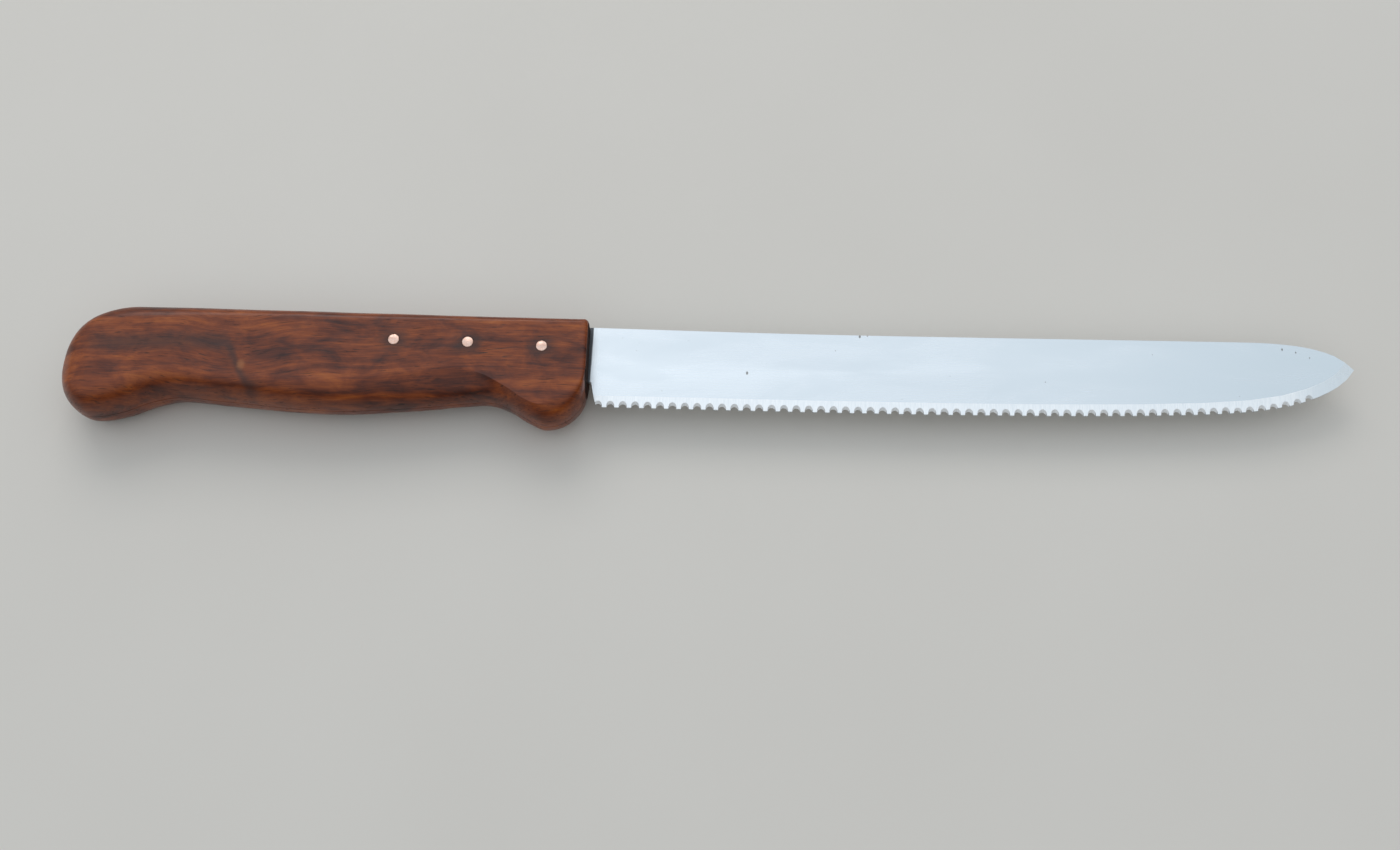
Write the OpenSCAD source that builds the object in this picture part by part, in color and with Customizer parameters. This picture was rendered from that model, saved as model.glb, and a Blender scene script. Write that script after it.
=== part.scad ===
// Bread knife: serrated steel blade with a half tang, two sculpted wooden scales,
// an epoxy bed between them and three peened copper pins.
//
// Working frame of the modules: x runs along the knife, 0 at the handle's front face and
// positive towards the tip; y points to the spine; z is normal to the blade, and the ground
// side of the edge faces +z. place() moves this to the part's own frame.

/* [Blade] */
// Length of the blade in front of the handle
blade_len = 201.5; // [195:0.5:205]
// Thickness of the blade
blade_t = 1.2; // [1.1:0.1:1.6]
// Height of the spine above the long axis, at the handle
spine_y = 7.9; // [7.5:0.1:8]
// Depth of the tooth tips below the long axis, at the heel
edge_y = 14.3; // [13.5:0.1:15]
// Height of the tip above the long axis
tip_y = 1.2; // [0:0.1:2]

/* [Serration] */
// Distance from the first gullet to the second
pitch = 3.25; // [3.15:0.05:3.25]
// Shortening of that distance from each gullet to the next
pitch_drift = 0.0016; // [0:0.0004:0.002]
// Number of gullets, counted from the heel
gullets = 59; // [50:1:59]
// Distance of the first gullet from the handle
first_gullet = 3; // [2.8:0.1:3.2]
// Depth of a gullet above the tooth tips
gullet_depth = 1.1; // [0.9:0.1:1.4]
// Radius of the flutes that cut the gullets
flute_r = 1.05; // [1:0.05:1.3]
// Angle between a flute and the blade's flat
flute_angle = 60; // [45:1:60]
// Height of the edge bevel
bevel_h = 3; // [2.4:0.1:3.6]
// Thickness left at the tooth tips
edge_land = 0.7; // [0.4:0.1:0.9]

/* [Tang] */
// Length of the tang inside the handle
tang_len = 58; // [56:1:64]
// Depth of the tang's lower edge below the long axis
tang_low = 7.6; // [6.5:0.1:8]
// Rounding of the tang's rear corners
tang_round = 4; // [2:0.5:6]

/* [Handle] */
// Length of the handle
handle_len = 137.5; // [132:0.5:142]
// Thickness of the handle at its front face
front_t = 15.6; // [14:0.2:17]
// Thickness of the handle at the middle of the grip
grip_t = 17.2; // [16:0.2:19]
// Thickness of the handle at the butt
butt_t = 18.8; // [17:0.2:20]
// Rounding of the front face's edges
front_round = 1.2; // [0.8:0.1:1.6]

/* [Pins] */
// Diameter of the pins' shanks
pin_d = 2.8; // [2.4:0.1:2.8]
// Diameter of the peened ends
peen_d = 3; // [3:0.1:3.2]
// Depth of the peened ends
peen_h = 0.8; // [0.6:0.1:1]
// Distance of the front pin from the handle's front face
first_pin = 11.8; // [11:0.2:13]
// Distance from pin to pin
pin_pitch = 19.2; // [17:0.2:19.4]

/* [Glue] */
// Thickness of the glue between the scales
glue_t = 0.2; // [0.1:0.1:0.3]

/* [Hidden] */
$fn = 48;

fit = 0.05;              // clearance of the pins in their bores
pin_drop = [0.6, 0.1, 0];   // each pin's depth below the long axis: they were drilled by hand
bed = 0.1;               // glue between the tang and the pocket's floor
side_bed = 0.3;          // glue round the tang's edges

// ---- outline of the blade ----
heel_x = 2.4;            // where the heel meets the first tooth
shoulder_x = 1;          // where the heel meets the tang's lower edge
tang_top = spine_y - 0.1;
spine_curve = [
    [0, spine_y], [60, spine_y - 0.4], [blade_len - 41, spine_y + 0.2], [blade_len - 23, spine_y + 0.2],
    [blade_len - 15, spine_y - 0.4], [blade_len - 10, spine_y - 1.3], [blade_len - 5, spine_y - 3],
    [blade_len - 2.5, spine_y - 4.7], [blade_len, tip_y]
];
edge_curve = [
    [0, -edge_y], [80, -edge_y + 0.1], [blade_len - 79, -edge_y + 0.65], [blade_len - 51, -edge_y + 1.5],
    [blade_len - 31, -edge_y + 2.8], [blade_len - 18, -edge_y + 5], [blade_len - 10, -edge_y + 7.8],
    [blade_len - 5, -edge_y + 10.5], [blade_len - 2.5, -edge_y + 12.5], [blade_len, tip_y]
];

// Ends of the bevel's flats, as shares of the blade's length.
bevel_ends = [0, 0.3, 0.5, 0.62, 0.72, 0.8, 0.86, 0.905, 0.94, 0.965, 0.98, 0.99, 1];

// ---- outline of the handle ----
butt_x = -handle_len;
butt_y = -7.8;           // height of the rearmost point
crown_x = butt_x + 20;   // where the round of the butt meets the spine
crown_y = 8.7;
front_y = 8.3;           // height of the spine at the front face
butt_low_x = butt_x + 9.5;
butt_low_y = -20.5;      // lowest point of the butt
guard_x = -10.2;
guard_y = -20.3;         // lowest point of the finger guard
guard_top = -9;          // where the guard's round meets the front face
belly_curve = [
    [butt_low_x, butt_low_y], [butt_x + 17, -19], [butt_x + 24, -16.1], [butt_x + 31, -14.6],
    [butt_x + 42, -15.3], [-68, -17.3], [-45, -16], [-31, -14.4], [-25, -14], [-20, -15.5],
    [-15, -18.4], [guard_x, guard_y]
];
thickness_curve = [[butt_x, butt_t / 2], [butt_x + 17, butt_t / 2], [-65, grip_t / 2], [0, front_t / 2]];
// Reach of the section's roundings, from the spine and from the belly.
spine_round_curve = [[butt_x, 6], [butt_x + 20, 4.5], [-90, 3.2], [-40, 2.6], [0, 1.9]];
belly_round_curve = [
    [butt_x, 4.5], [butt_x + 20, 5.2], [butt_x + 32, 4.2], [-92, 3.8], [-80, 4.6], [-60, 5.6],
    [-42, 7.2], [-34, 7.4], [-28, 5.5], [-22, 3.4], [-14, 2.8], [-7, 4.6], [0, 4.5]
];
// How far the belly's rounding starts as a chamfer, 0 for a plain rounding: sharpest at the guard.
ridge_curve = [
    [butt_x, 0.1], [butt_x + 20, 0.12], [-90, 0.12], [-65, 0.25], [-40, 0.42], [-24, 0.65],
    [-14, 0.6], [-7, 0.25], [0, 0.12]
];
end_round = 9.5;         // length of the butt's rounding in thickness
round_steps = 8;         // facets of each rounding

// ---- smooth curves through points: cubic pieces that share their slopes ----
function piece(p, x, i = 0) = i >= len(p) - 2 || x <= p[i + 1][0] ? i : piece(p, x, i + 1);
function chord(p, i) = (p[i + 1][1] - p[i][1]) / (p[i + 1][0] - p[i][0]);
function slope_at(p, i, flat_ends) =
    i > 0 && i < len(p) - 1 ? (p[i + 1][1] - p[i - 1][1]) / (p[i + 1][0] - p[i - 1][0])
    : flat_ends ? 0
    : chord(p, i == 0 ? 0 : i - 1);
function smooth(p, x, flat_ends = false) =
    let (i = piece(p, x))
    let (h = p[i + 1][0] - p[i][0], rise = p[i + 1][1] - p[i][1])
    let (t = (x - p[i][0]) / h, a = slope_at(p, i, flat_ends) * h, b = slope_at(p, i + 1, flat_ends) * h)
    p[i][1] + a * t + (3 * rise - 2 * a - b) * t * t + (a + b - 2 * rise) * t * t * t;

// Height of a quarter ellipse, 0 at its end and 1 at its crown, at distance d from the end.
function round_off(d, reach) = sqrt(max(0, 1 - pow(1 - min(1, d / reach), 2)));

// ---- handle surface ----
function front_inset(x) = x < -front_round ? 0
    : front_round - sqrt(max(0, front_round * front_round - pow(x + front_round, 2)));
function top_y(x) = -front_inset(x) + (x < crown_x
    ? butt_y + (crown_y - butt_y) * round_off(x - butt_x, crown_x - butt_x)
    : crown_y + (front_y - crown_y) * (x - crown_x) / -crown_x);
function low_y(x) = front_inset(x) + (x < butt_low_x
    ? butt_y + (butt_low_y - butt_y) * round_off(x - butt_x, butt_low_x - butt_x)
    : x > guard_x ? guard_top + (guard_y - guard_top) * round_off(-x, -guard_x)
    : smooth(belly_curve, x, true));
function half_t(x) =
    (smooth(thickness_curve, x, true) - front_inset(x)) * round_off(x - butt_x, end_round);

// One section as [y, z], from the spine's rim over the flat side to the belly's rim.
function section(x) =
    let (t = top_y(x), b = low_y(x), z = half_t(x))
    let (s0 = smooth(spine_round_curve, x), b0 = smooth(belly_round_curve, x))
    let (share = min(1, 0.9 * (t - b) / (s0 + b0)))
    let (ys = s0 * share, yb = b0 * share, zs = z * 0.5, zb = z * 0.85)
    concat(
        [[t, glue_t / 2]],
        [for (k = [0 : round_steps]) let (a = 90 * k / round_steps)
            [t - ys * (1 - cos(a)), z - zs + zs * sin(a)]],
        [for (k = [round_steps : -1 : 0])
            let (a = 90 * k / round_steps, c = smooth(ridge_curve, x) * sin(a) * sin(a))
            let (up = (1 - c) * (1 - cos(a)) + c * a / 90, out = (1 - c) * sin(a) + c * a / 90)
            [b + yb * up, z - zb + zb * out]],
        [[b, glue_t / 2]]
    );

// Stations close together where the ends round off.
stations = concat(
    [for (a = [6 : 6 : 84]) butt_x + (crown_x - butt_x) * (1 - cos(a))],
    [for (k = [0 : 35]) crown_x + (guard_x - crown_x) * k / 36],
    [for (k = [0 : 14]) guard_x * (1 - sin(90 * k / 14))]
);

function profile(gap) = concat(
    [for (x = stations) [min(x, -gap), top_y(x) - gap]],
    [for (k = [len(stations) - 1 : -1 : 0]) [min(stations[k], -gap), low_y(stations[k]) + gap]]
);

// The part's frame: centred in x and y, resting on z = 0.
widest = max([for (x = stations, p = section(x)) p[1]]);

module place() {
    translate([-(blade_len + stations[0]) / 2, -(crown_y + butt_low_y) / 2, widest]) children();
}

// ---- blade ----
module blade_outline() {
    edge_end = len(edge_curve) - 1;
    polygon(concat(
        [[0, tang_top], [0, spine_y]],
        [for (k = [1 : 79]) let (x = blade_len * k / 80) [x, smooth(spine_curve, x)]],
        [for (k = [1 : 7]) let (x = blade_len - 2.5 + 2.5 * k / 8) [x, smooth(spine_curve, x)]],
        [[blade_len, tip_y]],
        [for (k = [7 : -1 : 1]) let (x = blade_len - 2.5 + 2.5 * k / 8) [x, smooth(edge_curve, x)]],
        [for (k = [79 : -1 : 1]) let (x = blade_len * k / 80) [x, smooth(edge_curve, x)]],
        [[heel_x, -edge_y + 0.4], [heel_x - 0.6, -edge_y + 2.6], [heel_x - 1.1, -edge_y + 5]],
        [[shoulder_x, -tang_low], [0, -tang_low]]
    ));
}

// Tang body, larger all round by grow; it starts at the handle's front face.
module tang_body(grow, thick) {
    r = tang_round + grow;
    rear = -tang_len - grow;
    low = -tang_low - grow;
    top = tang_top + grow;
    translate([rear + r, low, -thick / 2]) cube([-rear - r, top - low, thick]);
    translate([rear, low + r, -thick / 2]) cube([-rear, top - low - 2 * r, thick]);
    for (y = [low + r, top - r])
        translate([rear + r, y, -thick / 2]) cylinder(r = r, h = thick);
}

// One flat of the edge bevel, ground along the stretch of edge from x1 to x2.
module bevel_flat(x1, x2) {
    y1 = smooth(edge_curve, x1);
    y2 = smooth(edge_curve, x2);
    tilt = atan((blade_t - edge_land) / bevel_h);
    translate([x1, y1, edge_land - blade_t / 2]) rotate([tilt, 0, atan2(y2 - y1, x2 - x1)])
        translate([-120, -10, 0]) cube([240, 10 + bevel_h + 2, 4]);
}

// One grinding flute; it cuts through the blade and runs out on the ground face.
module flute(k) {
    x = first_gullet + k * pitch - pitch_drift * k * k / 2;
    depth = gullet_depth * (x > blade_len - 32 ? 0.75 : 1);
    y = smooth(edge_curve, x) + depth - flute_r / sin(flute_angle);
    translate([x, y, -blade_t / 2]) rotate([flute_angle - 90, 0, 0])
        translate([0, 0, -4]) cylinder(r = flute_r, h = 12, $fn = 24);
}

module blade() {
    color("silver") place() difference() {
        union() {
            translate([0, 0, -blade_t / 2]) linear_extrude(blade_t) blade_outline();
            tang_body(0, blade_t);
        }
        for (k = [0 : len(bevel_ends) - 2]) bevel_flat(blade_len * bevel_ends[k], blade_len * bevel_ends[k + 1]);
        for (k = [0 : gullets - 1]) flute(k);
        pin_holes(pin_d + 4 * fit);
    }
}

// ---- handle ----
function pin_x(k) = -first_pin - k * pin_pitch;

module pin_holes(d) {
    for (k = [0 : 2])
        translate([pin_x(k), -pin_drop[k], -20]) cylinder(d = d, h = 40);
}

module peen_sinks() {
    for (k = [0 : 2])
        translate([pin_x(k), -pin_drop[k], pin_half(k) - peen_h]) cylinder(d = peen_d, h = 10);
}

module scale_solid() {
    rows = [for (x = stations) section(x)];
    n = len(rows);
    m = len(rows[0]);
    points = [for (i = [0 : n - 1], j = [0 : m - 1]) [stations[i], rows[i][j][0], rows[i][j][1]]];
    skin = [for (i = [0 : n - 2], j = [0 : m - 1]) let (a = i * m + j, b = i * m + (j + 1) % m)
        each [[a, b, b + m], [a, b + m, a + m]]];
    rear_cap = [[for (j = [m - 1 : -1 : 0]) j]];
    front_cap = [[for (j = [0 : m - 1]) (n - 1) * m + j]];
    polyhedron(points, concat(rear_cap, skin, front_cap));
}

// Scale on the ground side, with its tang pocket and bores.
module scale_body() {
    difference() {
        scale_solid();
        tang_body(side_bed, blade_t + 2 * bed);
        translate([-tang_len / 2, 0, -blade_t / 2 - bed]) cube([tang_len, 20, blade_t + 2 * bed]);
        pin_holes(pin_d + 2 * fit);
        peen_sinks();
    }
}

module right_scale() {
    color([0.42, 0.2, 0.11]) place() scale_body();
}

module left_scale() {
    color([0.4, 0.19, 0.1]) place() mirror([0, 0, 1]) scale_body();
}

module glue_bed() {
    color([0.25, 0.16, 0.08]) place() difference() {
        union() {
            translate([0, 0, -glue_t / 2]) linear_extrude(glue_t) polygon(profile(0.1));
            intersection() {
                tang_body(side_bed, blade_t + 2 * bed);
                translate([0, 0, -2]) linear_extrude(4) polygon(profile(0.1));
            }
        }
        tang_body(0, blade_t);
        pin_holes(pin_d + 2 * fit);
    }
}

// ---- pins ----
// Half length, up to the scale's side; the end's shallow dome is filed almost flush with it.
function pin_half(k) = half_t(pin_x(k));

module pin(k) {
    reach = pin_half(k);
    color([0.81, 0.56, 0.45]) place() translate([pin_x(k), -pin_drop[k], 0]) intersection() {
        union() {
            translate([0, 0, -reach - 1]) cylinder(d = pin_d, h = 2 * reach + 2);
            translate([0, 0, reach - peen_h]) cylinder(d = peen_d, h = 2);
            translate([0, 0, -reach - 2 + peen_h]) cylinder(d = peen_d, h = 2);
        }
        sphere(r = reach + 0.03);
    }
}

module front_pin() { pin(0); }

module middle_pin() { pin(1); }

module rear_pin() { pin(2); }

blade();
right_scale();
left_scale();
glue_bed();
front_pin();
middle_pin();
rear_pin();
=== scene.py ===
"""Bread knife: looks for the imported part. Lengths in the build code are millimetres in the
knife's own axes: x from the handle's front face towards the tip, y from the long axis towards
the spine, z from the blade's middle plane out of its ground side."""
import math

import bmesh
import bpy
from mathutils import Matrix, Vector, noise


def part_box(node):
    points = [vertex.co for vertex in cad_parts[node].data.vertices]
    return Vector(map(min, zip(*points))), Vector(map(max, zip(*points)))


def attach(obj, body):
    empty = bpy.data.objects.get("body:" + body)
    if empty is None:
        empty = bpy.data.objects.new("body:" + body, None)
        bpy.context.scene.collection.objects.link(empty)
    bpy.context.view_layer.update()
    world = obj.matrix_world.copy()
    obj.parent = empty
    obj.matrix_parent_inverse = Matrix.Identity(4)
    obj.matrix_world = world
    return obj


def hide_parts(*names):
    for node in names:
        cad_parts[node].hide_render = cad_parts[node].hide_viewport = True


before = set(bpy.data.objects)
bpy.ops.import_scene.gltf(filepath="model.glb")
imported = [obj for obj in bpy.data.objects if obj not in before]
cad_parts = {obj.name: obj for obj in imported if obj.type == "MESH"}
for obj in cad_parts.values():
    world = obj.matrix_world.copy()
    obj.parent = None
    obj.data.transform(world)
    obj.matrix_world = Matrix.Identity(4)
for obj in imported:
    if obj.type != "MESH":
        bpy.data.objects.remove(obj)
scene = bpy.context.scene
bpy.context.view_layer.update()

MM = 0.001
CROWN_Y = 8.7  # the handle's highest point
SCALE_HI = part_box("right_scale")[1]
BLADE_LO, BLADE_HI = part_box("blade")
ORIGIN = Vector((SCALE_HI[0], SCALE_HI[1] - CROWN_Y * MM, (BLADE_LO[2] + BLADE_HI[2]) / 2))

PINS = [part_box(n) for n in ("front_pin", "middle_pin", "rear_pin")]
PIN_AT = [(((lo[0] + hi[0]) / 2 - ORIGIN.x) / MM, ((lo[1] + hi[1]) / 2 - ORIGIN.y) / MM) for lo, hi in PINS]
PIN_HALF = [(hi[2] - lo[2]) / 2 / MM for lo, hi in PINS]


def at(x, y, z):
    """A point in metres, in the frame, from the knife's own millimetres."""
    return ORIGIN + Vector((x, y, z)) * MM


# ---------------------------------------------------------------- camera
YAW = math.radians(1.5)
ELEVATION = math.radians(70)
DISTANCE = 0.39
LENS = 38.6
aim = at(29.8, -18.6, 0)
level = math.cos(ELEVATION)
away = Vector((math.sin(YAW) * level, -math.cos(YAW) * level, math.sin(ELEVATION)))
camera = bpy.data.objects.new("camera", bpy.data.cameras.new("camera"))
camera.data.lens = LENS
camera.data.clip_start = 0.01
camera.location = aim + away * DISTANCE
camera.rotation_mode = "QUATERNION"
camera.rotation_quaternion = (-away).to_track_quat("-Z", "Y")
scene.collection.objects.link(camera)
scene.camera = camera
scene.view_settings.view_transform = "Standard"


# ---------------------------------------------------------------- material helpers
def fill_ramp(ramp, stops):
    """Give a colour ramp its stops, each a position and a colour."""
    while len(ramp.elements) < len(stops):
        ramp.elements.new(0.5)
    for element, (where, colour) in zip(ramp.elements, stops):
        element.position = where
        element.color = (*colour, 1)


class Graph:
    """Short calls for building one material's nodes."""

    def __init__(self, name):
        self.material = bpy.data.materials.new(name)
        self.material.use_nodes = True
        self.tree = self.material.node_tree
        self.tree.nodes.clear()
        out = self.node("ShaderNodeOutputMaterial")
        self.bsdf = self.node("ShaderNodeBsdfPrincipled")
        self.tree.links.new(self.bsdf.outputs[0], out.inputs["Surface"])
        # the surface point in the knife's own millimetres
        coord = self.node("ShaderNodeTexCoord")
        moved = self.vector("SUBTRACT", coord.outputs["Object"], tuple(ORIGIN))
        self.place = self.vector("SCALE", moved, 1 / MM)

    def node(self, kind, **settings):
        made = self.tree.nodes.new(kind)
        for key, value in settings.items():
            setattr(made, key, value)
        return made

    def put(self, socket, value):
        """Link a socket to another one, or set it to a value."""
        if isinstance(value, bpy.types.NodeSocket):
            self.tree.links.new(value, socket)
        elif isinstance(value, tuple) and len(value) == 3 and socket.type == "RGBA":
            socket.default_value = (*value, 1)
        else:
            socket.default_value = value

    def set(self, name, value):
        """Put a value on one of the shader's own sockets."""
        self.put(self.bsdf.inputs[name], value)

    def vector(self, op, a, b=None):
        n = self.node("ShaderNodeVectorMath", operation=op)
        self.put(n.inputs[0], a)
        if op == "SCALE":
            self.put(n.inputs["Scale"], b)
        elif b is not None:
            self.put(n.inputs[1], b)
        return n.outputs["Value"] if op == "LENGTH" else n.outputs[0]

    def math(self, op, a, b=0.0):
        n = self.node("ShaderNodeMath", operation=op)
        self.put(n.inputs[0], a)
        self.put(n.inputs[1], b)
        return n.outputs[0]

    def chain(self, op, *values):
        """One operation over several values, from left to right."""
        total = values[0]
        for value in values[1:]:
            total = self.math(op, total, value)
        return total

    def add(self, *values):
        return self.chain("ADD", *values)

    def times(self, *values):
        return self.chain("MULTIPLY", *values)

    def sway(self, value, amount):
        """How far a noise is from its middle, times an amount."""
        return self.times(self.math("SUBTRACT", value, 0.5), amount)

    def split(self, v):
        n = self.node("ShaderNodeSeparateXYZ")
        self.put(n.inputs[0], v)
        return n.outputs[0], n.outputs[1], n.outputs[2]

    def join(self, x, y, z):
        n = self.node("ShaderNodeCombineXYZ")
        for socket, value in zip(n.inputs, (x, y, z)):
            self.put(socket, value)
        return n.outputs[0]

    def reach(self, x, y, centre, weights=(1.0, 1.0)):
        """Distance from a centre in the side view, with each axis weighted."""
        offset = self.vector("SUBTRACT", self.join(x, y, 0.0), (*centre, 0.0))
        return self.vector("LENGTH", self.vector("MULTIPLY", offset, (*weights, 0.0)))

    def noise(self, v, rate, detail=3.0, rough=0.5, warp=0.0, output="Fac"):
        """Noise that changes at a rate to the millimetre: one for all axes, or one for each."""
        if isinstance(rate, tuple):
            v = self.vector("MULTIPLY", v, rate)
            rate = 1.0
        n = self.node("ShaderNodeTexNoise")
        self.put(n.inputs["Vector"], v)
        n.inputs["Scale"].default_value = rate
        n.inputs["Detail"].default_value = detail
        n.inputs["Roughness"].default_value = rough
        n.inputs["Distortion"].default_value = warp
        return n.outputs[output]

    def span(self, value, low, high, to_low=0.0, to_high=1.0):
        """A smooth step from to_low, where the value is low, to to_high, where it is high."""
        n = self.node("ShaderNodeMapRange", interpolation_type="SMOOTHSTEP", clamp=True)
        self.put(n.inputs["Value"], value)
        self.put(n.inputs["From Min"], low)
        self.put(n.inputs["From Max"], high)
        self.put(n.inputs["To Min"], to_low)
        self.put(n.inputs["To Max"], to_high)
        return n.outputs[0]

    def ramp(self, value, stops):
        n = self.node("ShaderNodeValToRGB")
        self.put(n.inputs[0], value)
        fill_ramp(n.color_ramp, stops)
        return n.outputs[0]

    def mix(self, share, a, b):
        n = self.node("ShaderNodeMix", data_type="RGBA", blend_type="MIX")
        self.put(n.inputs[0], share)
        self.put(n.inputs[6], a)
        self.put(n.inputs[7], b)
        return n.outputs[2]

    def bump(self, height, strength, depth, normal=None):
        """Relief with a depth in millimetres, over the mesh or over another relief."""
        n = self.node("ShaderNodeBump")
        n.inputs["Strength"].default_value = strength
        n.inputs["Distance"].default_value = depth * MM
        self.put(n.inputs["Height"], height)
        if normal is not None:
            self.put(n.inputs["Normal"], normal)
        return n.outputs[0]


# ---------------------------------------------------------------- wood
WOOD_TONES = (
    (0.38, (0.034, 0.005, 0.002)),
    (0.44, (0.090, 0.015, 0.003)),
    (0.50, (0.175, 0.033, 0.005)),
    (0.56, (0.265, 0.058, 0.008)),
    (0.64, (0.400, 0.110, 0.016)),
)
PORE_COLOUR = (0.016, 0.006, 0.004)
VEIN_COLOUR = (0.030, 0.012, 0.010)
EYE_COLOUR = (0.34, 0.125, 0.042)
STAIN_COLOUR = (0.026, 0.011, 0.009)
CHECK_COLOUR = (0.008, 0.004, 0.003)
SAG_X, SAG_WIDTH, SAG_DEPTH = -92.0, 14.0, 3.0  # where the grain's lines sag, under the vein
GRAIN_LEAN = -0.02
VEIN_BEND_X, VEIN_BEND_Y = (-94.0, -85.5), (-3.0, -14.0)  # where the vein bends down, from and to
VEIN_END_X = (-86.0, -82.0)
VEIN_REAR_X = (-132.0, -122.0)  # it is faint behind here
EYE_X, EYE_Y = -88.7, -8.3
CHECKS_AT = (-23.0, -3.5)  # between the first two pins
LEFT_SHIFT = 26.0  # the left scale is another board, with its vein further forward


def grain_space(g, side):
    """The place in the board's own space, whose x runs with the grain, and its drift in y."""
    x, y, z = g.split(g.place)
    drift = g.noise(g.place, (0.02, 0.05, 0.05), 2.0, output="Color")
    drift_y, drift_z = g.split(g.vector("SUBTRACT", drift, (0.5, 0.5, 0.5)))[1:]
    sag_x = g.math("DIVIDE", g.add(x, -SAG_X), SAG_WIDTH)
    sag = g.math("POWER", 2.718, g.times(sag_x, sag_x, -1.0))
    line = g.add(y, g.times(sag, SAG_DEPTH), g.times(x, GRAIN_LEAN), g.times(drift_y, 9.0))
    depth = g.add(g.times(z, 0.5 * side), g.times(drift_z, 6.0))
    return g.join(x, line, depth), drift_y


def vein_mask(g, x, y, drift_y, cloud, shift):
    """A dark vein that runs forward from the butt, then bends down and ends."""
    bend_from, bend_to = (place + shift for place in VEIN_BEND_X)
    end_from, end_to = (place + shift for place in VEIN_END_X)
    vein_y = g.span(x, bend_from, bend_to, *VEIN_BEND_Y)
    near = g.math("ABSOLUTE", g.add(g.math("SUBTRACT", y, vein_y), g.times(drift_y, 5.0)))
    near = g.add(near, g.sway(cloud, 3.5))
    stops_short = g.span(x, end_from, end_to, 1.0, 0.0)
    fades_to_butt = g.span(x, *VEIN_REAR_X, 0.2, 1.0)
    return g.times(g.span(near, 0.1, 3.4, 1.0, 0.0), stops_short, fades_to_butt)


def stain_mask(g, x, y, cloud):
    """Stain round the pins, drawn out along the grain."""
    masks = []
    for px, py in PIN_AT:
        ring = g.add(g.reach(x, y, (px, py - 0.4), (0.75, 1.0)), g.sway(cloud, 4.0))
        masks.append(g.span(ring, 1.3, 4.4, 1.0, 0.0))
    return g.chain("MAXIMUM", *masks)


def check_mask(g, x, y, z):
    """Hairline checks that lean a little across the grain."""
    lines = g.noise(g.join(x, g.add(y, g.times(x, -0.12)), z), (0.13, 1.7, 0.4), 2.0)
    zone = g.span(g.reach(x, y, CHECKS_AT, (0.14, 0.3)), 0.5, 1.1, 1.0, 0.0)
    return g.times(g.span(lines, 0.63, 0.66), zone)


def wood_material(name, side):
    """Reddish oiled hardwood. The grain runs along the handle."""
    g = Graph(name)
    x, y, z = g.split(g.place)
    grain, drift_y = grain_space(g, side)
    bands = g.noise(grain, (0.016, 0.15, 0.12), 3.0, 0.55, 0.3)
    streaks = g.noise(grain, (0.035, 0.62, 0.4), 4.0, 0.66, 0.2)
    fibres = g.noise(grain, (0.17, 3.6, 2.4), 3.0, 0.62)
    cloud = g.noise(g.place, (0.10, 0.17, 0.17), 4.0, 0.6, 0.6)
    tone = g.add(g.times(bands, 0.30), g.times(streaks, 0.26), g.times(cloud, 0.30), g.times(fibres, 0.14))
    colour = g.ramp(tone, WOOD_TONES)
    # pores: short dark dashes along the grain
    pores = g.span(g.noise(grain, (0.26, 3.8, 2.6), 1.0, 0.4), 0.63, 0.72)
    colour = g.mix(g.times(pores, 0.6), colour, PORE_COLOUR)
    # the dark vein, and a small pale eye in the crook of its bend
    shift = 0.0 if side > 0 else LEFT_SHIFT
    vein = vein_mask(g, x, y, drift_y, cloud, shift)
    colour = g.mix(g.times(vein, 0.68), colour, VEIN_COLOUR)
    eye = g.add(g.reach(x, y, (EYE_X + shift, EYE_Y), (1.0, 0.75)), g.sway(fibres, 1.2))
    colour = g.mix(g.span(eye, 0.3, 1.5, 0.55, 0.0), colour, EYE_COLOUR)
    colour = g.mix(g.times(stain_mask(g, x, y, cloud), 0.7), colour, STAIN_COLOUR)
    checks = check_mask(g, x, y, z)
    colour = g.mix(g.times(checks, 0.85), colour, CHECK_COLOUR)
    g.set("Base Color", colour)
    worn = g.noise(g.place, 0.09, 4.0, 0.6)
    g.set("Roughness", g.add(g.span(worn, 0.3, 0.7, 0.34, 0.48), g.times(pores, 0.2)))
    g.set("Specular IOR Level", 0.3)
    g.set("Coat Weight", 0.22)
    g.set("Coat Roughness", 0.18)
    g.set("Coat IOR", 1.45)
    relief = g.math("SUBTRACT", g.times(fibres, 0.3), g.add(pores, checks))
    hand = g.noise(g.place, 0.16, 2.0)
    g.set("Normal", g.bump(relief, 0.3, 0.05, g.bump(hand, 0.5, 0.5)))
    return g.material


def end_grain_material(name):
    """The handle's front face: sawn end grain, dark with oil and never polished, and darkened further by
    painted shade.
    """
    g = Graph(name)
    rings = g.noise(g.place, (0.3, 0.5, 1.6), 3.0, 0.55, 0.5)
    dots = g.noise(g.place, (1.0, 4.5, 4.5), 2.0, 0.6)
    # very dark: oiled end grain, with painted shade on this face
    colour = g.mix(g.span(rings, 0.35, 0.65), (0.018, 0.009, 0.007), (0.045, 0.018, 0.011))
    colour = g.mix(g.span(dots, 0.58, 0.68, 0.0, 0.7), colour, (0.008, 0.004, 0.003))
    g.set("Base Color", colour)
    g.set("Roughness", g.span(dots, 0.3, 0.7, 0.75, 0.9))
    g.set("Specular IOR Level", 0.1)
    g.set("Normal", g.bump(dots, 0.5, 0.1))
    return g.material


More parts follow.
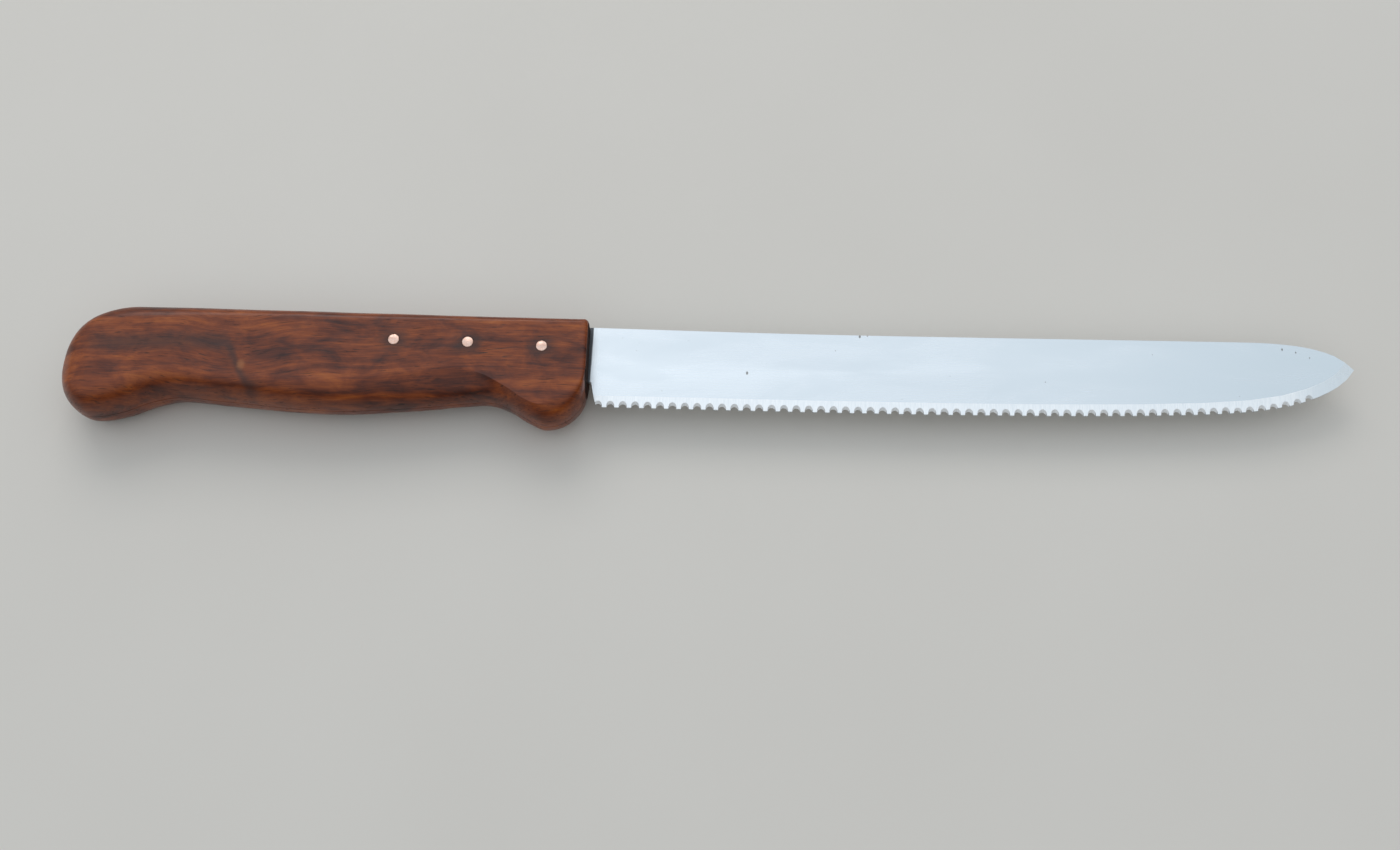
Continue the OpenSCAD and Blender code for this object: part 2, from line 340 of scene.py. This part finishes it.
# ---------------------------------------------------------------- steel
STEEL_LIGHT = (0.765, 0.80, 0.83)
STEEL_DARK = (0.735, 0.775, 0.805)
SCRATCH_COLOUR = (0.62, 0.65, 0.68)
# painted shade: the blade's colour darkens towards the tip
PAINTED_TIP_SHADE = (0.64, 0.70, 0.735)
GROUND_DARK = (0.86, 0.88, 0.90)
GROUND_LIGHT = (0.98, 0.98, 0.98)
FILED_COLOUR = (0.58, 0.60, 0.62)
# painted shade for the blade beside the handle
PAINTED_CORNER_SHADE = (0.035, 0.034, 0.038)
PIT_COLOUR = (0.16, 0.15, 0.14)
POLISHED_TIP_X = (183.0, 193.0)  # where the grinding fades out
# where the painted shade towards the tip grows, from none to half
PAINTED_TIP_SHADE_X = (120.0, 195.0)
FILED_X = (2.6, 4.0)  # the filed band by the handle, from all to none
CORNER_X = (0.85, 1.25)  # the painted shade on the blade beside the handle, from all to none
# the larger pits and nicks: x, y and size
PITS = ((12.5, 1.6, 0.2), (41.8, -4.0, 0.5), (65.0, 3.0, 0.25), (71.5, 7.2, 0.5), (73.5, 7.5, 0.35),
        (120.0, -4.5, 0.25), (183.0, 6.4, 0.4), (186.5, 5.6, 0.35), (190.0, 4.2, 0.3))


def pit_mask(g, x, y, fine):
    """The named pits and nicks, and scattered pin-prick ones."""
    masks = []
    for px, py, size in PITS:
        far = g.add(g.reach(x, y, (px, py), (1.1, 0.7)), g.times(fine, 0.25))
        masks.append(g.span(far, size * 0.6, size * 1.2, 1.0, 0.0))
    pricks = g.node("ShaderNodeTexVoronoi", feature="F1")
    g.put(pricks.inputs["Vector"], g.join(x, y, 0.0))
    pricks.inputs["Scale"].default_value = 0.22
    prick = g.span(pricks.outputs["Distance"], 0.018, 0.04, 1.0, 0.0)
    return g.chain("MAXIMUM", *masks, g.times(prick, 0.6))


def steel_material(name):
    """Polished strip steel with lengthwise scratches; the bevel and flutes are ground bright."""
    g = Graph(name)
    x, y = g.split(g.place)[:2]
    facing = g.split(g.node("ShaderNodeNewGeometry").outputs["True Normal"])[2]
    right_side = g.span(facing, 0.1, 0.3)
    ground = g.times(g.span(facing, 0.9995, 0.995), right_side, g.span(x, *POLISHED_TIP_X, 1.0, 0.3))
    flute = g.times(g.span(facing, 0.97, 0.9), right_side)
    scratch = g.noise(g.place, (0.05, 9.0, 1.0), 4.0, 0.7)
    cross = g.noise(g.place, (6.0, 0.25, 1.0), 3.0, 0.7)
    wipe = g.noise(g.place, (0.035, 0.12, 1.0), 4.0, 0.55, 0.5)
    fine = g.noise(g.place, (0.4, 22.0, 1.0), 2.0, 0.6)
    filed = g.span(g.add(x, g.times(cross, 2.0)), *FILED_X, 1.0, 0.0)
    # painted shade and reflection: a dark band on the blade beside the handle's shaded front face, wider
    # towards the spine
    corner = g.add(g.math("SUBTRACT", x, g.times(y, 0.02)), g.times(cross, 0.5))
    corner = g.span(corner, *CORNER_X, 1.0, 0.0)
    colour = g.mix(g.span(wipe, 0.35, 0.7), STEEL_DARK, STEEL_LIGHT)
    colour = g.mix(g.span(scratch, 0.60, 0.74, 0.0, 0.22), colour, SCRATCH_COLOUR)
    # painted shade, darker towards the tip
    colour = g.mix(g.span(x, *PAINTED_TIP_SHADE_X, 0.0, 0.5), colour, PAINTED_TIP_SHADE)
    colour = g.mix(ground, colour, g.mix(g.span(cross, 0.35, 0.65), GROUND_DARK, GROUND_LIGHT))
    colour = g.mix(g.times(filed, g.span(cross, 0.4, 0.65, 0.0, 0.4)), colour, FILED_COLOUR)
    # the painted shade beside the handle, nearly black
    colour = g.mix(g.times(corner, 0.93), colour, PAINTED_CORNER_SHADE)
    pits = pit_mask(g, x, y, fine)
    colour = g.mix(g.times(pits, 0.8), colour, PIT_COLOUR)
    g.set("Base Color", colour)
    # the flutes are coarse ground and scatter the light
    g.set("Metallic", g.math("SUBTRACT", 1.0, g.times(flute, 0.9)))
    g.set("Roughness", g.add(
        g.span(wipe, 0.3, 0.7, 0.23, 0.28),
        g.sway(scratch, 0.10),
        g.times(ground, 0.14),
        g.times(g.chain("MAXIMUM", filed, corner), 0.08),
        g.times(g.chain("MAXIMUM", pits, flute), 0.3),
    ))
    g.set("Anisotropic", 0.3)
    lengthwise = g.add(g.times(scratch, 0.5), g.times(fine, 0.2))
    crosswise = g.times(g.chain("MAXIMUM", filed, ground), cross)
    relief = g.math("SUBTRACT", g.add(lengthwise, crosswise), g.times(pits, 2.0))
    g.set("Normal", g.bump(relief, 0.25, 0.03))
    return g.material


# ---------------------------------------------------------------- copper, glue, floor
RIM_R = (1.35, 1.7)  # the tarnish at a pin's rim, from none to all


def copper_material(name):
    """Copper filed flush and handled since: bright face, brown tarnish towards its rim."""
    g = Graph(name)
    x, y = g.split(g.place)[:2]
    radius = g.chain("MINIMUM", *[g.reach(x, y, centre) for centre in PIN_AT])
    cloud = g.noise(g.place, 1.3, 3.0, 0.6)
    filed = g.noise(g.place, (0.9, 14.0, 1.0), 3.0, 0.6)
    rim = g.span(g.add(radius, g.times(cloud, 0.35)), *RIM_R)
    colour = g.mix(g.span(cloud, 0.35, 0.7), (0.76, 0.54, 0.45), (0.66, 0.42, 0.33))
    colour = g.mix(g.span(filed, 0.58, 0.75, 0.0, 0.4), colour, (0.60, 0.36, 0.28))
    colour = g.mix(g.times(rim, 0.85), colour, (0.20, 0.09, 0.06))
    g.set("Base Color", colour)
    g.set("Metallic", 1.0)
    g.set("Roughness", g.add(g.span(cloud, 0.3, 0.7, 0.28, 0.42), g.times(rim, 0.15)))
    g.set("Normal", g.bump(g.add(filed, cloud), 0.3, 0.04))
    return g.material


def glue_material(name):
    """Dark cured epoxy with wood dust in it."""
    g = Graph(name)
    dust = g.noise(g.place, 2.5, 4.0, 0.65)
    speck = g.noise(g.place, 7.0, 2.0, 0.6)
    colour = g.mix(g.span(dust, 0.35, 0.65), (0.020, 0.010, 0.006), (0.055, 0.026, 0.014))
    colour = g.mix(g.span(speck, 0.64, 0.72, 0.0, 0.6), colour, (0.13, 0.06, 0.03))
    g.set("Base Color", colour)
    g.set("Roughness", g.span(dust, 0.3, 0.7, 0.3, 0.5))
    g.set("Normal", g.bump(dust, 0.4, 0.06))
    return g.material


def floor_material(name):
    """A plain pale matt floor."""
    g = Graph(name)
    soft = g.noise(g.place, 0.01, 4.0)
    fine = g.noise(g.place, 0.9, 3.0, 0.6)
    g.set("Base Color", g.mix(soft, (0.64, 0.60, 0.55), (0.69, 0.65, 0.60)))
    g.set("Roughness", g.span(fine, 0.3, 0.7, 0.55, 0.7))
    g.set("Specular IOR Level", 0.25)
    g.set("Normal", g.bump(fine, 0.08, 0.1))
    return g.material


# ---------------------------------------------------------------- handle form
HANDLE = 137.5
BUTT = -HANDLE
CROWN_X = BUTT + 20
FRONT_Y = 8.3
BUTT_Y = -7.8  # the rearmost point
BUTT_LOW_X, BUTT_LOW_Y = BUTT + 9.5, -20.5
GUARD_X, GUARD_Y = -10.2, -20.3
GUARD_TOP = -9.0  # where the guard's curve meets the front face
FRONT_ROUND, END_ROUND = 1.2, 9.5
GLUE_HALF = 0.1
# the lower outline, from the butt's low point to the guard: x, y
BELLY = ((BUTT_LOW_X, BUTT_LOW_Y), (BUTT + 17, -19), (BUTT + 24, -16.1), (BUTT + 31, -14.6),
         (BUTT + 42, -15.3), (-68, -17.3), (-45, -16), (-31, -14.4), (-25, -14), (-20, -15.5),
         (-15, -18.4), (GUARD_X, GUARD_Y))
# half the thickness, the radii of the two long edges and the share of ridge in the belly: x, value
HALF_THICKNESS = ((BUTT, 9.4), (BUTT + 17, 9.4), (-65, 8.6), (0, 7.8))
SPINE_ROUND = ((BUTT, 6), (BUTT + 20, 4.5), (-90, 3.2), (-40, 2.6), (0, 1.9))
BELLY_ROUND = ((BUTT, 4.5), (BUTT + 20, 5.2), (BUTT + 32, 4.2), (-92, 3.8), (-80, 4.6), (-60, 5.6),
               (-42, 7.2), (-34, 7.4), (-28, 5.5), (-22, 3.4), (-14, 2.8), (-7, 4.6), (0, 4.5))
RIDGE = ((BUTT, 0.1), (BUTT + 20, 0.12), (-90, 0.12), (-65, 0.25), (-40, 0.42), (-24, 0.65),
         (-14, 0.6), (-7, 0.25), (0, 0.12))
SPINE_SHARE, BELLY_SHARE = 0.5, 0.85  # how much of half the thickness each edge takes
ROUND_LIMIT = 0.9  # how much of the height the two edges may take together
TURNS, FLATS, TOPS = 14, 22, 3  # steps round an edge, down the side and across the spine
BUTT_TURNS = range(6, 90, 2)  # the butt's sections, in degrees of its round
GRIP_SECTIONS, GUARD_SECTIONS = 150, 26


def smooth(points, x, flat_ends=False):
    """Cubic pieces through the points that share their slopes."""
    last = len(points) - 1
    i = 0
    while i < last - 1 and x > points[i + 1][0]:
        i += 1

    def slope(k):
        if flat_ends and k in (0, last):
            return 0.0
        before, after = points[max(0, k - 1)], points[min(last, k + 1)]
        return (after[1] - before[1]) / (after[0] - before[0])

    length = points[i + 1][0] - points[i][0]
    rise = points[i + 1][1] - points[i][1]
    t = (x - points[i][0]) / length
    a = slope(i) * length
    b = slope(i + 1) * length
    return points[i][1] + a * t + (3 * rise - 2 * a - b) * t * t + (a + b - 2 * rise) * t ** 3


def round_off(d, reach):
    """Quarter circle from 0 at the end to 1 at reach from it."""
    return math.sqrt(max(0.0, 1 - (1 - min(1.0, d / reach)) ** 2))


def front_inset(x):
    """How far the rounded front corner stands in from the outline."""
    if x < -FRONT_ROUND:
        return 0.0
    return FRONT_ROUND - math.sqrt(max(0.0, FRONT_ROUND ** 2 - (x + FRONT_ROUND) ** 2))


def top_y(x):
    """Height of the handle's upper outline."""
    if x < CROWN_X:
        y = BUTT_Y + (CROWN_Y - BUTT_Y) * round_off(x - BUTT, CROWN_X - BUTT)
    else:
        y = CROWN_Y + (FRONT_Y - CROWN_Y) * (x - CROWN_X) / -CROWN_X
    return y - front_inset(x)


def low_y(x):
    """Height of the handle's lower outline."""
    if x < BUTT_LOW_X:
        y = BUTT_Y + (BUTT_LOW_Y - BUTT_Y) * round_off(x - BUTT, BUTT_LOW_X - BUTT)
    elif x > GUARD_X:
        y = GUARD_TOP + (GUARD_Y - GUARD_TOP) * round_off(-x, -GUARD_X)
    else:
        y = smooth(BELLY, x, True)
    return y + front_inset(x)


def half_thickness(x):
    """From the blade's middle plane to the handle's side."""
    return (smooth(HALF_THICKNESS, x, True) - front_inset(x)) * round_off(x - BUTT, END_ROUND)


def section(x):
    """One scale's section as y, z: across the spine, round its edge, down the side and round the belly."""
    top, low, half = top_y(x), low_y(x), half_thickness(x)
    share = min(1.0, ROUND_LIMIT * (top - low) / (smooth(SPINE_ROUND, x) + smooth(BELLY_ROUND, x)))
    spine_y = smooth(SPINE_ROUND, x) * share
    belly_y = smooth(BELLY_ROUND, x) * share
    spine_z = half * SPINE_SHARE
    belly_z = half * BELLY_SHARE
    ridge = smooth(RIDGE, x)
    row = [(top, GLUE_HALF + (half - spine_z - GLUE_HALF) * k / (TOPS + 1)) for k in range(TOPS + 1)]
    for k in range(TURNS + 1):
        turn = math.pi / 2 * k / TURNS
        row.append((top - spine_y * (1 - math.cos(turn)), half - spine_z + spine_z * math.sin(turn)))
    for k in range(1, FLATS):
        row.append((top - spine_y + (low + belly_y - top + spine_y) * k / FLATS, half))
    for k in range(TURNS, -1, -1):
        part = k / TURNS
        turn = math.pi / 2 * part
        straight = ridge * math.sin(turn) ** 2
        y = low + belly_y * ((1 - straight) * (1 - math.cos(turn)) + straight * part)
        out = (1 - straight) * math.sin(turn) + straight * part
        row.append((y, half - belly_z + belly_z * out))
    row.append((low, GLUE_HALF))
    return row


def stations():
    """Where the sections stand along the handle: closer together round the butt and the guard."""
    xs = [BUTT + (CROWN_X - BUTT) * (1 - math.cos(math.radians(a))) for a in BUTT_TURNS]
    xs += [CROWN_X + (GUARD_X - CROWN_X) * k / GRIP_SECTIONS for k in range(GRIP_SECTIONS)]
    xs += [GUARD_X * (1 - math.sin(math.pi / 2 * k / GUARD_SECTIONS)) for k in range(GUARD_SECTIONS + 1)]
    return xs


# ---------------------------------------------------------------- meshes
PIN_R, PEEN_R = 1.4, 1.49
PEEN_H = 0.9
BORE_R, SEAT_R = 1.45, 1.56
BORE_SIDES, PIN_SIDES, PIN_RINGS = 48, 64, 12
POCKET_X, POCKET_LOW, POCKET_HALF = -58.3, -7.9, 0.7  # room for the tang
POCKET_TOP, POCKET_FRONT = 12.0, 0.5  # clear of the handle, as the pocket is open there
CLEAR = 20  # well outside the handle's sides
HAND_SHAPING = 0.16  # the most that the uneven surface stands in
HAND_RATE = 0.085
JOINT_EASE, FRONT_EASE = 3.0, 2.0  # the unevenness grows over these from the joint and the front
FRONT_FACING, FRONT_DEPTH = 0.95, 0.3  # which faces are the sawn front face
WOOD_CREASE, COPPER_CREASE = 32, 50  # degrees
SET_IN, DENT = 0.03, 0.05  # how far a pin's ends stand in, and how deep they are dented
DOME_DROP, EDGE_DROP = 0.08, 0.07
OUT_OF_ROUND = 0.055
END_ZONE = 0.3  # the pin's ends, which take the dents
HAND_SEEDS = {1: Vector((7.0, 3.0, 1.0)), -1: Vector((2.0, 9.0, 4.0))}


def mesh_object(name, verts, faces, material):
    """A new object in the scene from its points, in metres, and faces."""
    mesh = bpy.data.meshes.new(name)
    mesh.from_pydata([tuple(v) for v in verts], [], faces)
    mesh.validate()
    mesh.update()
    made = bpy.data.objects.new(name, mesh)
    scene.collection.objects.link(made)
    if material:
        mesh.materials.append(material)
    return made


def soften(piece, degrees):
    """Smooth shading, with creases where faces meet at more than the angle."""
    piece.data.shade_smooth()
    piece.data.set_sharp_from_angle(angle=math.radians(degrees))


def tube_faces(count, first):
    """Side quads and both caps of a closed tube whose rings start at vertex number first."""
    second = first + count
    side = []
    for k in range(count):
        after = (k + 1) % count
        side.append((first + k, first + after, second + after, second + k))
    low_cap = tuple(range(second - 1, first - 1, -1))
    high_cap = tuple(range(second, second + count))
    return side + [low_cap, high_cap]


def circle(px, py, radius, z, count):
    """Points of a circle that is square to the pins."""
    turns = [2 * math.pi * k / count for k in range(count)]
    return [at(px + radius * math.cos(a), py + radius * math.sin(a), z) for a in turns]


def cutter(side):
    """Tang pocket and pin bores, to be taken out of one scale."""
    corners = [(POCKET_X, POCKET_LOW), (POCKET_FRONT, POCKET_LOW)]
    corners += [(POCKET_FRONT, POCKET_TOP), (POCKET_X, POCKET_TOP)]
    verts = [at(x, y, z) for z in (-POCKET_HALF, POCKET_HALF) for x, y in corners]
    faces = tube_faces(len(corners), 0)
    for (px, py), half in zip(PIN_AT, PIN_HALF):
        for radius, low, high in ((BORE_R, -CLEAR, CLEAR), (SEAT_R, half - PEEN_H, CLEAR)):
            ends = (low, high) if side > 0 else (-high, -low)
            faces += tube_faces(BORE_SIDES, len(verts))
            for z in ends:
                verts += circle(px, py, radius, z, BORE_SIDES)
    return mesh_object("cutter", verts, faces, None)


def take_out(piece, tool):
    """Cut the tool out of the piece, and remove the tool."""
    cut = piece.modifiers.new("bores", "BOOLEAN")
    cut.operation = "DIFFERENCE"
    cut.object = tool
    cut.solver = "EXACT"
    cut.use_self = True
    bpy.context.view_layer.update()
    graph = bpy.context.evaluated_depsgraph_get()
    done = bpy.data.meshes.new_from_object(piece.evaluated_get(graph))
    piece.modifiers.clear()
    piece.data = done
    bpy.data.objects.remove(tool)


def hand_shaped(x, y, z, side):
    """A point of the scale, moved in a little as in hand shaping, but not at the joints."""
    uneven = 0.5 + 0.5 * noise.noise(Vector((x, y, z * side)) * HAND_RATE + HAND_SEEDS[side])
    ease = min(1.0, max(0.0, (z - GLUE_HALF) / JOINT_EASE)) * min(1.0, -x / FRONT_EASE)
    inward = HAND_SHAPING * uneven * ease
    top, low = top_y(x), low_y(x)
    height = max(1.0, (top - low) / 2)
    out = Vector((0, (y - (top + low) / 2) / height, z / max(1.0, half_thickness(x)))).normalized()
    return at(x, y - out.y * inward, (z - out.z * inward) * side)


def scale_piece(name, side, material):
    """One scale: the handle's form with the unevenness of hand shaping, bored and pocketed."""
    rows = [[hand_shaped(x, y, z, side) for y, z in section(x)] for x in stations()]
    around = len(rows[0])
    verts = [point for row in rows for point in row]
    faces = []
    for first in range(0, len(verts) - around, around):
        for j in range(around):
            a = first + j
            b = first + (j + 1) % around
            faces.append((a, b, b + around, a + around))
    faces.append(tuple(range(around - 1, -1, -1)))
    faces.append(tuple(range(len(verts) - around, len(verts))))
    if side < 0:
        faces = [tuple(reversed(f)) for f in faces]
    piece = mesh_object(name, verts, faces, material)
    take_out(piece, cutter(side))
    piece.data.materials.append(end_grain)
    for face in piece.data.polygons:
        if face.normal.x > FRONT_FACING and face.center.x > ORIGIN.x - FRONT_DEPTH * MM:
            face.material_index = 1
    soften(piece, WOOD_CREASE)
    return piece


def pin_ring(px, py, radius, height, uneven, half, seed):
    """One ring of a pin's points, less than round and dented by its uneven share."""
    points = []
    for k in range(PIN_SIDES):
        a = 2 * math.pi * k / PIN_SIDES
        place = Vector((math.cos(a), math.sin(a), height * 0.1))
        r = radius * (1 - uneven * (0.5 + 0.5 * noise.noise(place * 1.1 + seed)))
        x, y = r * math.cos(a), r * math.sin(a)
        dent = 0.0
        if abs(height) > half - END_ZONE:
            dent = DENT * noise.noise(Vector((x, y, height)) * 0.9 + seed)
        points.append(at(px + x, py + y, height - math.copysign(SET_IN + dent, height)))
    return points


def pin_piece(name, index, material):
    """A rod through the handle, its ends spread a little in their seats and slightly domed."""
    px, py = PIN_AT[index]
    half = PIN_HALF[index]
    seed = Vector((11.0 * index + 1.0, 5.0, 2.0))
    dome = []
    for k in range(1, PIN_RINGS + 1):
        radius = PEEN_R * math.sin(math.pi / 2 * k / PIN_RINGS)
        drop = DOME_DROP * (radius / PEEN_R) ** 2 + (EDGE_DROP if k == PIN_RINGS else 0.0)
        dome.append((radius, half - drop, OUT_OF_ROUND * k / PIN_RINGS))
    rod = [(PEEN_R, half - PEEN_H, 0.0), (PIN_R, half - PEEN_H - 0.1, 0.0)]
    upper = dome + rod
    lower = [(radius, -height, uneven) for radius, height, uneven in upper]
    verts, faces = [], []
    for radius, height, uneven in lower + upper[::-1]:
        verts += pin_ring(px, py, radius, height, uneven, half, seed)
    for first in range(0, len(verts) - PIN_SIDES, PIN_SIDES):
        faces += tube_faces(PIN_SIDES, first)[:PIN_SIDES]
    faces.append(tuple(range(PIN_SIDES - 1, -1, -1)))
    faces.append(tuple(range(len(verts) - PIN_SIDES, len(verts))))
    piece = mesh_object(name, verts, faces, material)
    soften(piece, COPPER_CREASE)
    return piece


# ---------------------------------------------------------------- pieces
wood_right = wood_material("wood_right", 1)
wood_left = wood_material("wood_left", -1)
end_grain = end_grain_material("wood_end_grain_painted_shade")
steel = steel_material("steel")
copper = copper_material("copper")
glue = glue_material("glue")

for piece, node, slot in (
    (scale_piece("right_scale_shaped", 1, wood_right), "right_scale", "wood"),
    (scale_piece("left_scale_shaped", -1, wood_left), "left_scale", "wood"),
    (pin_piece("front_pin_peened", 0, copper), "front_pin", "copper"),
    (pin_piece("middle_pin_peened", 1, copper), "middle_pin", "copper"),
    (pin_piece("rear_pin_peened", 2, copper), "rear_pin", "copper"),
):
    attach(piece, "root")
    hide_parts(node)

for node, material in (("blade", steel), ("glue_bed", glue)):
    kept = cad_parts[node]
    kept.data.materials.clear()
    kept.data.materials.append(material)

# ---------------------------------------------------------------- floor and light
bm = bmesh.new()
bmesh.ops.create_grid(bm, x_segments=8, y_segments=8, size=4.0)
floor_mesh = bpy.data.meshes.new("floor")
bm.to_mesh(floor_mesh)
bm.free()
floor = bpy.data.objects.new("floor", floor_mesh)
scene.collection.objects.link(floor)
floor_mesh.materials.append(floor_material("floor"))

# a room lit from above and a little from the left, darker and warmer towards the ground
BRIGHTEST_WAY = Vector((-0.15, 0.15, 0.98)).normalized()
SKY_STOPS = (
    (0.0, (0.10, 0.085, 0.07)),
    (0.25, (0.22, 0.205, 0.19)),
    (0.5, (0.68, 0.72, 0.75)),
    (0.85, (0.80, 0.89, 0.96)),
    (1.0, (0.93, 1.01, 1.09)),
)
world = bpy.data.worlds.new("studio")
scene.world = world
world.use_nodes = True
tree = world.node_tree
tree.nodes.clear()
back = tree.nodes.new("ShaderNodeBackground")
out = tree.nodes.new("ShaderNodeOutputWorld")
tree.links.new(back.outputs[0], out.inputs[0])
coord = tree.nodes.new("ShaderNodeTexCoord")
dot = tree.nodes.new("ShaderNodeVectorMath")
dot.operation = "DOT_PRODUCT"
tree.links.new(coord.outputs["Generated"], dot.inputs[0])
dot.inputs[1].default_value = BRIGHTEST_WAY
sky = tree.nodes.new("ShaderNodeValToRGB")
tree.links.new(dot.outputs["Value"], sky.inputs[0])
fill_ramp(sky.color_ramp, SKY_STOPS)
tree.links.new(sky.outputs[0], back.inputs["Color"])
back.inputs["Strength"].default_value = 1.0

key = bpy.data.lights.new("key", "AREA")
key.shape = "RECTANGLE"
key.size = 0.9
key.size_y = 0.6
key.energy = 4.0
key.color = (1.0, 0.985, 0.96)
key_object = bpy.data.objects.new("key", key)
key_object.location = (-0.25, 0.95, 0.85)
key_object.rotation_mode = "QUATERNION"
key_object.rotation_quaternion = (-key_object.location).to_track_quat("-Z", "Y")
scene.collection.objects.link(key_object)
